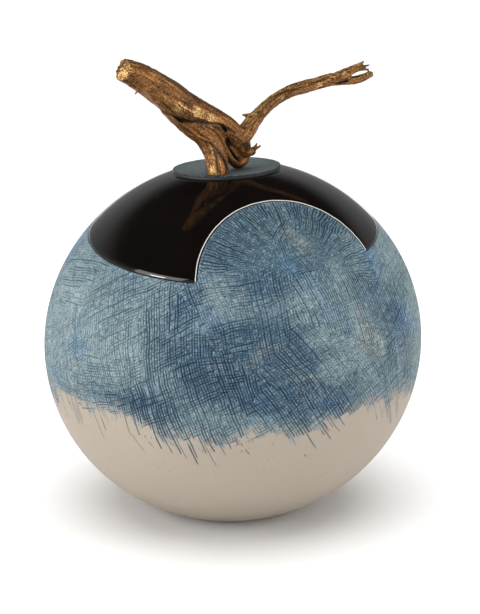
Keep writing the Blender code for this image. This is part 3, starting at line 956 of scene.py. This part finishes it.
def lid_glaze():
    """Black glaze, thin and pale along the arches, and a matte blue-grey dish in the disc."""
    g = Graph("black_glaze")
    ball = ball_place(g)
    outwards = g.vector("NORMALIZE", ball)
    over_lobes, *others = [inside_circle(g, outwards, axis, LOBE_SPREAD) for axis in LOBE_AXES]
    for other in others:
        over_lobes = g.stronger(over_lobes, other)
    uneven = g.strayed(g.noise(ball, 160.0), ARCH_LINE_STRAY)
    from_arch = g.sum(g.both(over_lobes, -1.0), uneven)
    line = g.both(g.ease(from_arch, *ARCH_LINE_START), g.ease(from_arch, *ARCH_LINE_END))

    from_disc = g.vector("SUBTRACT", ball, Disc.centre)
    height = g.dot(from_disc, Disc.up)
    radius = g.vector("LENGTH", g.vector("SUBTRACT", from_disc, g.scaled(Disc.up, height)))
    in_disc = disc_zone(g, radius, height, MATTE_EDGE, MATTE_HEIGHTS)
    worn = disc_zone(g, radius, height, WORN_EDGE, WORN_HEIGHTS)
    on_wall = disc_zone(g, radius, height, WALL_EDGE, WALL_HEIGHTS)
    brushed = g.noise(g.vector("MULTIPLY", from_disc, (110.0, 300.0, 110.0)), 6.0, detail=4.0, roughness=0.75)
    brushed = g.ease(brushed, 0.30, 0.70)

    colour = g.mix(g.noise(ball, 40.0, detail=3.0), *GLAZE)
    colour = g.mix(on_wall, colour, DISC_WALL)
    colour = g.mix(in_disc, colour, g.mix(brushed, *MATTE_DISC))
    colour = g.mix(g.both(worn, g.ease(brushed, 0.45, 0.7, 0.0, 0.6)), colour, WORN_RIM)
    colour = g.mix(line, colour, ARCH_LINE)
    dust = g.ease(g.noise(ball, 1100.0, detail=0.0), 0.905, 0.915)
    colour = g.mix(g.both(dust, 0.5), colour, DUST)
    dry = g.stronger(g.stronger(in_disc, on_wall), line)
    rough = g.ease(g.noise(ball, 90.0, detail=3.0), 0.3, 0.8, 0.07, 0.13)
    waves = g.noise(ball, 55.0, detail=2.0)
    pits = g.both(g.noise(ball, 700.0, detail=2.0), dry)
    g.set(
        Base_Color=colour,
        Roughness=g.stronger(rough, g.both(dry, 0.62)),
        Specular_IOR_Level=0.5,
        Normal=g.bump(g.sum(g.both(waves, 0.6), g.both(pits, 0.3)), 0.0004, 0.5),
    )
    return g.material


def gilded_wood():
    """Dark driftwood rubbed with bronze and gold along its grain, with a painted gold highlight on the side
    that faces the light.
    """
    g = Graph("gilded_driftwood")
    grain = g.attribute("grain", "Vector")
    hollow = g.attribute("hollow")
    streaks = g.noise(g.vector("MULTIPLY", grain, (90.0, 900.0, 900.0)), 1.0, detail=4.0, roughness=0.65)
    broad = g.noise(g.vector("MULTIPLY", grain, (35.0, 160.0, 160.0)), 1.0, detail=3.0)
    specks = g.noise(g.place, 1100.0, detail=2.0)
    tone = g.sum(g.both(streaks, 0.75), g.both(broad, 0.35))
    tone = g.sum(tone, g.line(specks, 0.70, -0.42))
    colour = g.mix(g.ease(tone, 0.20, 0.82), *WOOD)
    # The gold share: gold leaf and the painted highlight on the lit side, over the grain's tone
    bright = g.line(g.attribute("gilt_and_painted_highlight"), 0.34, g.math("SUBTRACT", tone, 0.68))
    colour = g.mix(g.ease(bright, -0.10, 0.38), colour, GOLD_AND_PAINTED_HIGHLIGHT)
    g.set(
        Base_Color=g.mix(g.ease(hollow, 0.25, 0.9), colour, WOOD_HOLLOW),
        Metallic=g.ease(hollow, 0.8, 0.2, 0.15, 0.70),
        Roughness=g.ease(streaks, 0.3, 0.7, 0.50, 0.34),
        Normal=g.bump(g.sum(g.both(streaks, 0.6), g.both(specks, 0.4)), 0.0007, 0.9),
    )
    return g.material


def smooth_line(points, rings):
    """A centre line and its half thickness, through the given points, as a Catmull-Rom curve."""
    p = np.concatenate([[2 * points[0] - points[1]], points, [2 * points[-1] - points[-2]]])
    line = []
    for a, b, c, d in zip(p, p[1:], p[2:], p[3:]):
        for t in np.arange(rings) / rings:
            line.append(
                b + 0.5 * t * (c - a + t * (2 * a - 5 * b + 4 * c - d + t * (3 * (b - c) + d - a)))
            )
    return np.array(line + [points[-1]])


class Limb:
    """One limb's centre line, with a frame at each of its points."""

    def __init__(self, points, order):
        line = smooth_line(np.array(points) * BRANCH_SPAN / 100, LIMB_RINGS)
        self.centres, self.radii = line[:, :3], line[:, 3]
        self.forward = unit(np.gradient(self.centres, axis=0))
        steps = np.linalg.norm(np.diff(self.centres, axis=0), axis=1)
        self.along = np.concatenate([[0.0], np.cumsum(steps)]) + GRAIN_SHIFT * order
        side = unit(np.cross(self.forward[0], FIRST_SIDE))
        sides = []
        for ahead in self.forward:
            side = unit(side - ahead * (side @ ahead))
            sides.append(side)
        self.side = np.array(sides)
        self.other = np.cross(self.forward, self.side)

    def add_to(self, mesh):
        """A tube with lengthwise folds and a low point over each end."""
        angles = np.linspace(0, 2 * math.pi, LIMB_SIDES, endpoint=False)
        c, s = np.cos(angles), np.sin(angles)
        loops = []
        for i, radius in enumerate(self.radii):
            swell = LIMB_SWELL
            for length, count, depth, seed in FOLDS:
                along = np.full_like(c, self.along[i] / length)
                swell = swell - depth * grooves(np.stack([along, count * c, count * s], axis=1), seed)
            circle = np.outer(c * swell, self.side[i]) + np.outer(s * swell, self.other[i])
            loops.append(self.centres[i] + radius * circle)
        rings = skin(mesh, loops)
        for ring, end, outwards in ((rings[0][::-1], 0, -1), (rings[-1], -1, 1)):
            tip = self.centres[end] + outwards * TIP_BULGE * self.radii[end] * self.forward[end]
            point = mesh.verts.new(tip)
            for i in range(LIMB_SIDES):
                mesh.faces.new((ring[i], ring[(i + 1) % LIMB_SIDES], point))


def evaluated_mesh(piece):
    graph = bpy.context.evaluated_depsgraph_get()
    return bpy.data.meshes.new_from_object(piece.evaluated_get(graph))


def distance_to_line(points, line):
    """How far each point lies from a line of points, and how far along it, from 0 to 1."""
    best = np.full(len(points), np.inf)
    place = np.zeros(len(points))
    for i, (a, b) in enumerate(zip(line, line[1:])):
        t = np.clip((points - a) @ (b - a) / ((b - a) @ (b - a)), 0, 1)
        away = np.linalg.norm(points - a - np.outer(t, b - a), axis=1)
        nearer = away < best
        best[nearer] = away[nearer]
        place[nearer] = (i + t[nearer]) / (len(line) - 1)
    return best, place


def fused(limbs, material):
    """One skin over all the limbs."""
    mesh = bmesh.new()
    for limb in limbs:
        limb.add_to(mesh)
    bmesh.ops.recalc_face_normals(mesh, faces=mesh.faces)
    raw = bpy.data.meshes.new("driftwood_raw")
    mesh.to_mesh(raw)
    mesh.free()
    blank = linked("driftwood_blank", raw, material)
    fuse = blank.modifiers.new("fuse", "REMESH")
    fuse.mode = "VOXEL"
    fuse.voxel_size = WOOD_VOXEL
    calm = blank.modifiers.new("calm", "SMOOTH")
    calm.factor, calm.iterations = WOOD_SMOOTHING
    data = evaluated_mesh(blank)
    bpy.data.objects.remove(blank)
    return data


def weathering(points, grain):
    """How deep each point is worn away, and how dark a hollow it lies in."""
    worn = np.zeros(len(points))
    for depth, along, across, seed in WEATHERING:
        worn += depth * grooves(grain * np.array([along, across, across]), seed)
    worn += PIT_DEPTH * soft_noise(points * PITS_PER_METRE, PIT_SEED)
    hollow = worn / DARK_DEPTH
    wander = soft_noise(grain * CRACK_WANDERS_PER_METRE, CRACK_SEED) - 0.5
    wander = 1 + CRACK_WANDER * wander
    for half_width, depth, line in CRACKS:
        away, place = distance_to_line(points, np.array(line) * WOOD_MEASURE)
        ends = np.clip(np.minimum(place, 1 - place) / CRACK_TAPER, 0, 1)
        cut = np.exp(-((away / (half_width * WOOD_MEASURE * wander)) ** 2)) * ends
        worn += depth * WOOD_MEASURE * cut
        hollow += CRACK_DARKNESS * cut
    left_end = points[np.argmin(points[:, 0])]
    burl = np.exp(-((np.linalg.norm(points - left_end, axis=1) / BURL_REACH) ** 2))
    worn += burl * BURL_DEPTH * grooves(points * BURL_PITS_PER_METRE, BURL_SEED)
    return worn, np.clip(hollow, 0, 1)


def gold_and_painted_highlight(points, normals):
    """How much gold each point gets: thick gold leaf at the gilded spots, and a painted highlight on the side
    that faces the light.
    """
    # Painted highlight: gold on the side that faces the light
    gilt_and_painted_highlight = PAINTED_HIGHLIGHT_GOLD * np.clip(normals @ LIT_SIDE, 0, 1) ** 2
    for spot, reach in GILDED:
        away = np.linalg.norm(points - np.array(spot) * WOOD_MEASURE, axis=1) / (reach * WOOD_MEASURE)
        gilt_and_painted_highlight = np.maximum(gilt_and_painted_highlight, np.exp(-(away**2)))
    return gilt_and_painted_highlight


def stood_on_disc(points):
    """The wood's points moved to their place, cut level over the dish, inside the solid's box."""
    across, deep = BRANCH_FOOT
    plane = Disc.centre + (FOOT_GAP - DISH_DEPTH) * Disc.up
    foot = plane + across * Disc.right + deep * Disc.back
    points = placed([foot])[0] + points
    below = np.minimum((points - placed([plane])[0]) @ Disc.up, 0.0)
    points = points - np.outer(below, Disc.up)
    low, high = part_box("branch_handle")
    return np.clip(points, np.array(low), np.array(high))


def driftwood(material):
    """The branch: folded limbs fused to one skin, then weathered along the grain."""
    limbs = [Limb(points, order) for order, points in enumerate(LIMBS.values())]
    data = fused(limbs, material)
    points = vectors(data.vertices, "co")
    normals = vectors(data.vertex_normals, "vector")
    grain = straightened(points, limbs)
    worn, hollow = weathering(points, grain)
    data.vertices.foreach_set("co", stood_on_disc(points - normals * worn[:, None]).ravel())
    data.shade_smooth()
    store(data, "grain", grain, "FLOAT_VECTOR")
    store(data, "hollow", hollow)
    # The gold leaf, with the painted highlight on the lit side mixed in, for the material to read
    store(data, "gilt_and_painted_highlight", gold_and_painted_highlight(points, normals))
    return linked("driftwood", data, material)


def straightened(points, limbs):
    """Each point in its nearest limb's own measure: along the limb, and twice across it."""
    centres = np.concatenate([limb.centres for limb in limbs])
    tree = KDTree(len(centres))
    for i, centre in enumerate(centres):
        tree.insert(centre, i)
    tree.balance()
    near = np.array([tree.find(point)[1] for point in points])
    offset = points - centres[near]
    forward, side, other, along = (
        np.concatenate([getattr(limb, part) for limb in limbs])[near]
        for part in ("forward", "side", "other", "along")
    )
    measures = [np.sum(offset * way, axis=1) for way in (forward, side, other)]
    return np.stack([along + measures[0], *measures[1:]], axis=1)


def studio():
    """A plain pale floor and soft light from both sides and above."""
    data = bpy.data.meshes.new("floor")
    corners = [(x * FLOOR_REACH, y * FLOOR_REACH, 0.0) for x, y in ((-1, -1), (1, -1), (1, 1), (-1, 1))]
    data.from_pydata(corners, [], [(0, 1, 2, 3)])
    g = Graph("pale_floor")
    g.set(Base_Color=FLOOR_WHITE, Roughness=0.7, Specular_IOR_Level=0.2)
    linked("floor", data, g.material)

    world = bpy.data.worlds.new("studio")
    bpy.context.scene.world = world
    surround(world)
    lamps = {name: softbox(name, *settings) for name, settings in SOFTBOXES.items()}
    lamps["left_glint"].visible_diffuse = False
    data = bpy.data.lights.new("overhead", "SUN")
    data.energy = SUN_STRENGTH
    data.angle = math.radians(SUN_SPREAD)
    added("overhead", data).visible_glossy = False


def surround(world):
    """White behind the urn, even light all round, and for reflections grey walls under a dark roof."""
    world.use_nodes = True
    g = Nodes(world.node_tree)
    place = g.node("ShaderNodeTexCoord").outputs["Generated"]
    height = g.filled("ShaderNodeSeparateXYZ", [place]).outputs["Z"]
    low, high = (math.sin(math.radians(edge)) for edge in ROOF_EDGE)
    walls = g.ease(height, low, high, WALL_GLOSS, ROOF_GLOSS)
    path = g.node("ShaderNodeLightPath").outputs
    strength = g.picked(path["Is Glossy Ray"], EVEN_LIGHT, walls)
    strength = g.picked(path["Is Camera Ray"], strength, 1.0)
    background = g.tree.nodes["Background"].inputs
    g.feed(background["Strength"], strength)
    g.feed(background["Color"], (1.0, 1.0, 1.0, 1.0))


def softbox(name, place, size, power):
    """A soft lamp that shines at the ball's middle."""
    data = bpy.data.lights.new(name, "AREA")
    data.shape = "RECTANGLE"
    data.size, data.size_y = size
    data.energy = power
    lamp = added(name, data)
    lamp.location = place
    aim = Vector((0.0, 0.0, CENTRE_HEIGHT)) - Vector(place)
    lamp.rotation_euler = aim.to_track_quat("-Z", "Y").to_euler()
    return lamp


def camera():
    data = bpy.data.cameras.new("camera")
    data.lens = LENS
    data.sensor_fit = "VERTICAL"
    data.sensor_height = SENSOR_HEIGHT
    tilt = math.radians(CAMERA_ELEVATION)
    middle = Vector((0.0, 0.0, CENTRE_HEIGHT))
    eye = middle + CAMERA_DISTANCE * Vector((0.0, -math.cos(tilt), math.sin(tilt)))
    aim = middle + Vector((AIM_RIGHT, AIM_UP * math.sin(tilt), AIM_UP * math.cos(tilt)))
    piece = added("camera", data)
    piece.location = eye
    piece.rotation_euler = (aim - eye).to_track_quat("-Z", "Y").to_euler()
    bpy.context.scene.camera = piece


def urn():
    line = joint_line()
    body = bridged("stoneware_body", [placed(loop) for loop in body_loops(line)], stoneware())
    paint_wash(body.data)
    lid = bridged("glazed_lid", [placed(loop) for loop in lid_loops(line)], lid_glaze())
    branch = driftwood(gilded_wood())
    for piece, node, slot in (
        (body, "urn_body", "stoneware"),
        (lid, "lid", "black_glaze"),
        (branch, "branch_handle", "gilded_driftwood"),
    ):
        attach(piece, "root")
        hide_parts(node)


urn()
studio()
camera()
bpy.context.scene.view_settings.view_transform = "Standard"
